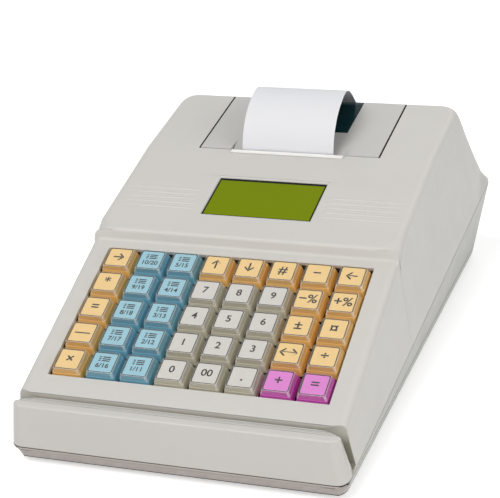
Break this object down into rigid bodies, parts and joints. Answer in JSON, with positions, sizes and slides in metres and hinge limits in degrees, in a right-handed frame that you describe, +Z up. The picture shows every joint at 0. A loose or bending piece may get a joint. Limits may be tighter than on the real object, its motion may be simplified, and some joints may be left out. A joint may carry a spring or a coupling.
{
  "type": "ticket register",
  "caption": "Counter-top cash register with sloping keyboard, olive display, card swipe slot and a receipt printer with its roll under a hinged lid.",
  "frame": {"origin": "on the table plane, under the middle of the case's overall box", "axes": "+Z up, +Y from the operator's side towards the rear wall, +X to the operator's right"},
  "size_m": [0.2028, 0.3188, 0.1337],
  "materials": {
    "case_shell": "fine moulded texture",
    "case_tray": "fine moulded texture",
    "smoked_window": "smoked, polished",
    "tear_bar_white": "satin",
    "display_olive": "gloss",
    "black_plastic": "matte",
    "circuit_board": "solder mask",
    "printer_chassis": "matte",
    "head_metal": "satin",
    "platen_rubber": "matte",
    "motor_steel": "satin",
    "pinion_brass": "satin",
    "paper": "uncoated paper",
    "switch_red": "gloss",
    "foot_rubber": "matte",
    "screw_steel": "zinc plated",
    "key_yellow": "satin",
    "key_blue": "satin",
    "key_white": "satin",
    "key_magenta": "satin"
  },
  "bodies": {
    "case": {"base_tray": "case_tray", "top_cover": "case_shell", "tear_bar": "tear_bar_white", "lcd_panel": "display_olive", "key_frame": "black_plastic", "key_board": "circuit_board", "main_board": "circuit_board", "printer_frame": "printer_chassis", "print_head": "head_metal", "feed_motor": "motor_steel", "paper_tape": "paper", "card_reader": "black_plastic", "rubber_feet": "foot_rubber", "case_screws": "screw_steel"},
    "lid": {"printer_lid": "case_shell", "lid_window": "smoked_window"},
    "roll": {"paper_roll": "paper"},
    "platen": {"platen_roller": "platen_rubber"},
    "pinion": {"motor_pinion": "pinion_brass"},
    "switch": {"power_switch": "switch_red"},
    "key_body_row1_col1": {"key_row1_col1": "key_yellow"},
    "key_body_row1_col2": {"key_row1_col2": "key_blue"},
    "key_body_row1_col3": {"key_row1_col3": "key_blue"},
    "key_body_row1_col4": {"key_row1_col4": "key_yellow"},
    "key_body_row1_col5": {"key_row1_col5": "key_yellow"},
    "key_body_row1_col6": {"key_row1_col6": "key_yellow"},
    "key_body_row1_col7": {"key_row1_col7": "key_yellow"},
    "key_body_row1_col8": {"key_row1_col8": "key_yellow"},
    "key_body_row2_col1": {"key_row2_col1": "key_yellow"},
    "key_body_row2_col2": {"key_row2_col2": "key_blue"},
    "key_body_row2_col3": {"key_row2_col3": "key_blue"},
    "key_body_row2_col4": {"key_row2_col4": "key_white"},
    "key_body_row2_col5": {"key_row2_col5": "key_white"},
    "key_body_row2_col6": {"key_row2_col6": "key_white"},
    "key_body_row2_col7": {"key_row2_col7": "key_yellow"},
    "key_body_row2_col8": {"key_row2_col8": "key_yellow"},
    "key_body_row3_col1": {"key_row3_col1": "key_yellow"},
    "key_body_row3_col2": {"key_row3_col2": "key_blue"},
    "key_body_row3_col3": {"key_row3_col3": "key_blue"},
    "key_body_row3_col4": {"key_row3_col4": "key_white"},
    "key_body_row3_col5": {"key_row3_col5": "key_white"},
    "key_body_row3_col6": {"key_row3_col6": "key_white"},
    "key_body_row3_col7": {"key_row3_col7": "key_yellow"},
    "key_body_row3_col8": {"key_row3_col8": "key_yellow"},
    "key_body_row4_col1": {"key_row4_col1": "key_yellow"},
    "key_body_row4_col2": {"key_row4_col2": "key_blue"},
    "key_body_row4_col3": {"key_row4_col3": "key_blue"},
    "key_body_row4_col4": {"key_row4_col4": "key_white"},
    "key_body_row4_col5": {"key_row4_col5": "key_white"},
    "key_body_row4_col6": {"key_row4_col6": "key_white"},
    "key_body_row4_col7": {"key_row4_col7": "key_yellow"},
    "key_body_row4_col8": {"key_row4_col8": "key_yellow"},
    "key_body_row5_col1": {"key_row5_col1": "key_yellow"},
    "key_body_row5_col2": {"key_row5_col2": "key_blue"},
    "key_body_row5_col3": {"key_row5_col3": "key_blue"},
    "key_body_row5_col4": {"key_row5_col4": "key_white"},
    "key_body_row5_col5": {"key_row5_col5": "key_white"},
    "key_body_row5_col6": {"key_row5_col6": "key_white"},
    "key_body_row5_col7": {"key_row5_col7": "key_magenta"},
    "key_body_row5_col8": {"key_row5_col8": "key_magenta"}
  },
  "joints": [
    {"name": "lid_hinge", "type": "hinge", "parent": "case", "child": "lid", "pos_m": [0.001, 0.13136, 0.09222], "axis": [-1, 0, 0], "range_deg": [0, 95], "deforming": ["paper_tape"]},
    {"name": "roll_spin", "type": "hinge", "parent": "case", "child": "roll", "pos_m": [0.001, 0.0865, 0.061], "axis": [1, 0, 0], "continuous": true},
    {"name": "platen_spin", "type": "hinge", "parent": "case", "child": "platen", "pos_m": [0.001, 0.05316, 0.091], "axis": [1, 0, 0], "continuous": true},
    {"name": "pinion_spin", "type": "hinge", "parent": "case", "child": "pinion", "pos_m": [0.001, 0.05922, 0.0805], "axis": [1, 0, 0], "continuous": true},
    {"name": "switch_rock", "type": "hinge", "parent": "case", "child": "switch", "pos_m": [0.06, 0.1534, 0.033], "axis": [1, 0, 0], "range_deg": [0, 14]},
    {"name": "press_row1_col1", "type": "slide", "parent": "case", "child": "key_body_row1_col1", "axis": [0, 0.3502, -0.9367], "range_m": [0, 0.0035], "stiffness_N_per_m": 150, "springref_m": -0.0015},
    {"name": "press_row1_col2", "type": "slide", "parent": "case", "child": "key_body_row1_col2", "axis": [0, 0.3502, -0.9367], "range_m": [0, 0.0035], "stiffness_N_per_m": 150, "springref_m": -0.0015},
    {"name": "press_row1_col3", "type": "slide", "parent": "case", "child": "key_body_row1_col3", "axis": [0, 0.3502, -0.9367], "range_m": [0, 0.0035], "stiffness_N_per_m": 150, "springref_m": -0.0015},
    {"name": "press_row1_col4", "type": "slide", "parent": "case", "child": "key_body_row1_col4", "axis": [0, 0.3502, -0.9367], "range_m": [0, 0.0035], "stiffness_N_per_m": 150, "springref_m": -0.0015},
    {"name": "press_row1_col5", "type": "slide", "parent": "case", "child": "key_body_row1_col5", "axis": [0, 0.3502, -0.9367], "range_m": [0, 0.0035], "stiffness_N_per_m": 150, "springref_m": -0.0015},
    {"name": "press_row1_col6", "type": "slide", "parent": "case", "child": "key_body_row1_col6", "axis": [0, 0.3502, -0.9367], "range_m": [0, 0.0035], "stiffness_N_per_m": 150, "springref_m": -0.0015},
    {"name": "press_row1_col7", "type": "slide", "parent": "case", "child": "key_body_row1_col7", "axis": [0, 0.3502, -0.9367], "range_m": [0, 0.0035], "stiffness_N_per_m": 150, "springref_m": -0.0015},
    {"name": "press_row1_col8", "type": "slide", "parent": "case", "child": "key_body_row1_col8", "axis": [0, 0.3502, -0.9367], "range_m": [0, 0.0035], "stiffness_N_per_m": 150, "springref_m": -0.0015},
    {"name": "press_row2_col1", "type": "slide", "parent": "case", "child": "key_body_row2_col1", "axis": [0, 0.3502, -0.9367], "range_m": [0, 0.0035], "stiffness_N_per_m": 150, "springref_m": -0.0015},
    {"name": "press_row2_col2", "type": "slide", "parent": "case", "child": "key_body_row2_col2", "axis": [0, 0.3502, -0.9367], "range_m": [0, 0.0035], "stiffness_N_per_m": 150, "springref_m": -0.0015},
    {"name": "press_row2_col3", "type": "slide", "parent": "case", "child": "key_body_row2_col3", "axis": [0, 0.3502, -0.9367], "range_m": [0, 0.0035], "stiffness_N_per_m": 150, "springref_m": -0.0015},
    {"name": "press_row2_col4", "type": "slide", "parent": "case", "child": "key_body_row2_col4", "axis": [0, 0.3502, -0.9367], "range_m": [0, 0.0035], "stiffness_N_per_m": 150, "springref_m": -0.0015},
    {"name": "press_row2_col5", "type": "slide", "parent": "case", "child": "key_body_row2_col5", "axis": [0, 0.3502, -0.9367], "range_m": [0, 0.0035], "stiffness_N_per_m": 150, "springref_m": -0.0015},
    {"name": "press_row2_col6", "type": "slide", "parent": "case", "child": "key_body_row2_col6", "axis": [0, 0.3502, -0.9367], "range_m": [0, 0.0035], "stiffness_N_per_m": 150, "springref_m": -0.0015},
    {"name": "press_row2_col7", "type": "slide", "parent": "case", "child": "key_body_row2_col7", "axis": [0, 0.3502, -0.9367], "range_m": [0, 0.0035], "stiffness_N_per_m": 150, "springref_m": -0.0015},
    {"name": "press_row2_col8", "type": "slide", "parent": "case", "child": "key_body_row2_col8", "axis": [0, 0.3502, -0.9367], "range_m": [0, 0.0035], "stiffness_N_per_m": 150, "springref_m": -0.0015},
    {"name": "press_row3_col1", "type": "slide", "parent": "case", "child": "key_body_row3_col1", "axis": [0, 0.3502, -0.9367], "range_m": [0, 0.0035], "stiffness_N_per_m": 150, "springref_m": -0.0015},
    {"name": "press_row3_col2", "type": "slide", "parent": "case", "child": "key_body_row3_col2", "axis": [0, 0.3502, -0.9367], "range_m": [0, 0.0035], "stiffness_N_per_m": 150, "springref_m": -0.0015},
    {"name": "press_row3_col3", "type": "slide", "parent": "case", "child": "key_body_row3_col3", "axis": [0, 0.3502, -0.9367], "range_m": [0, 0.0035], "stiffness_N_per_m": 150, "springref_m": -0.0015},
    {"name": "press_row3_col4", "type": "slide", "parent": "case", "child": "key_body_row3_col4", "axis": [0, 0.3502, -0.9367], "range_m": [0, 0.0035], "stiffness_N_per_m": 150, "springref_m": -0.0015},
    {"name": "press_row3_col5", "type": "slide", "parent": "case", "child": "key_body_row3_col5", "axis": [0, 0.3502, -0.9367], "range_m": [0, 0.0035], "stiffness_N_per_m": 150, "springref_m": -0.0015},
    {"name": "press_row3_col6", "type": "slide", "parent": "case", "child": "key_body_row3_col6", "axis": [0, 0.3502, -0.9367], "range_m": [0, 0.0035], "stiffness_N_per_m": 150, "springref_m": -0.0015},
    {"name": "press_row3_col7", "type": "slide", "parent": "case", "child": "key_body_row3_col7", "axis": [0, 0.3502, -0.9367], "range_m": [0, 0.0035], "stiffness_N_per_m": 150, "springref_m": -0.0015},
    {"name": "press_row3_col8", "type": "slide", "parent": "case", "child": "key_body_row3_col8", "axis": [0, 0.3502, -0.9367], "range_m": [0, 0.0035], "stiffness_N_per_m": 150, "springref_m": -0.0015},
    {"name": "press_row4_col1", "type": "slide", "parent": "case", "child": "key_body_row4_col1", "axis": [0, 0.3502, -0.9367], "range_m": [0, 0.0035], "stiffness_N_per_m": 150, "springref_m": -0.0015},
    {"name": "press_row4_col2", "type": "slide", "parent": "case", "child": "key_body_row4_col2", "axis": [0, 0.3502, -0.9367], "range_m": [0, 0.0035], "stiffness_N_per_m": 150, "springref_m": -0.0015},
    {"name": "press_row4_col3", "type": "slide", "parent": "case", "child": "key_body_row4_col3", "axis": [0, 0.3502, -0.9367], "range_m": [0, 0.0035], "stiffness_N_per_m": 150, "springref_m": -0.0015},
    {"name": "press_row4_col4", "type": "slide", "parent": "case", "child": "key_body_row4_col4", "axis": [0, 0.3502, -0.9367], "range_m": [0, 0.0035], "stiffness_N_per_m": 150, "springref_m": -0.0015},
    {"name": "press_row4_col5", "type": "slide", "parent": "case", "child": "key_body_row4_col5", "axis": [0, 0.3502, -0.9367], "range_m": [0, 0.0035], "stiffness_N_per_m": 150, "springref_m": -0.0015},
    {"name": "press_row4_col6", "type": "slide", "parent": "case", "child": "key_body_row4_col6", "axis": [0, 0.3502, -0.9367], "range_m": [0, 0.0035], "stiffness_N_per_m": 150, "springref_m": -0.0015},
    {"name": "press_row4_col7", "type": "slide", "parent": "case", "child": "key_body_row4_col7", "axis": [0, 0.3502, -0.9367], "range_m": [0, 0.0035], "stiffness_N_per_m": 150, "springref_m": -0.0015},
    {"name": "press_row4_col8", "type": "slide", "parent": "case", "child": "key_body_row4_col8", "axis": [0, 0.3502, -0.9367], "range_m": [0, 0.0035], "stiffness_N_per_m": 150, "springref_m": -0.0015},
    {"name": "press_row5_col1", "type": "slide", "parent": "case", "child": "key_body_row5_col1", "axis": [0, 0.3502, -0.9367], "range_m": [0, 0.0035], "stiffness_N_per_m": 150, "springref_m": -0.0015},
    {"name": "press_row5_col2", "type": "slide", "parent": "case", "child": "key_body_row5_col2", "axis": [0, 0.3502, -0.9367], "range_m": [0, 0.0035], "stiffness_N_per_m": 150, "springref_m": -0.0015},
    {"name": "press_row5_col3", "type": "slide", "parent": "case", "child": "key_body_row5_col3", "axis": [0, 0.3502, -0.9367], "range_m": [0, 0.0035], "stiffness_N_per_m": 150, "springref_m": -0.0015},
    {"name": "press_row5_col4", "type": "slide", "parent": "case", "child": "key_body_row5_col4", "axis": [0, 0.3502, -0.9367], "range_m": [0, 0.0035], "stiffness_N_per_m": 150, "springref_m": -0.0015},
    {"name": "press_row5_col5", "type": "slide", "parent": "case", "child": "key_body_row5_col5", "axis": [0, 0.3502, -0.9367], "range_m": [0, 0.0035], "stiffness_N_per_m": 150, "springref_m": -0.0015},
    {"name": "press_row5_col6", "type": "slide", "parent": "case", "child": "key_body_row5_col6", "axis": [0, 0.3502, -0.9367], "range_m": [0, 0.0035], "stiffness_N_per_m": 150, "springref_m": -0.0015},
    {"name": "press_row5_col7", "type": "slide", "parent": "case", "child": "key_body_row5_col7", "axis": [0, 0.3502, -0.9367], "range_m": [0, 0.0035], "stiffness_N_per_m": 150, "springref_m": -0.0015},
    {"name": "press_row5_col8", "type": "slide", "parent": "case", "child": "key_body_row5_col8", "axis": [0, 0.3502, -0.9367], "range_m": [0, 0.0035], "stiffness_N_per_m": 150, "springref_m": -0.0015}
  ],
  "couplings": [
    {"joint": "platen_spin", "follows": "roll_spin", "ratio": 5.6},
    {"joint": "pinion_spin", "follows": "roll_spin", "ratio": -11.2}
  ]
}
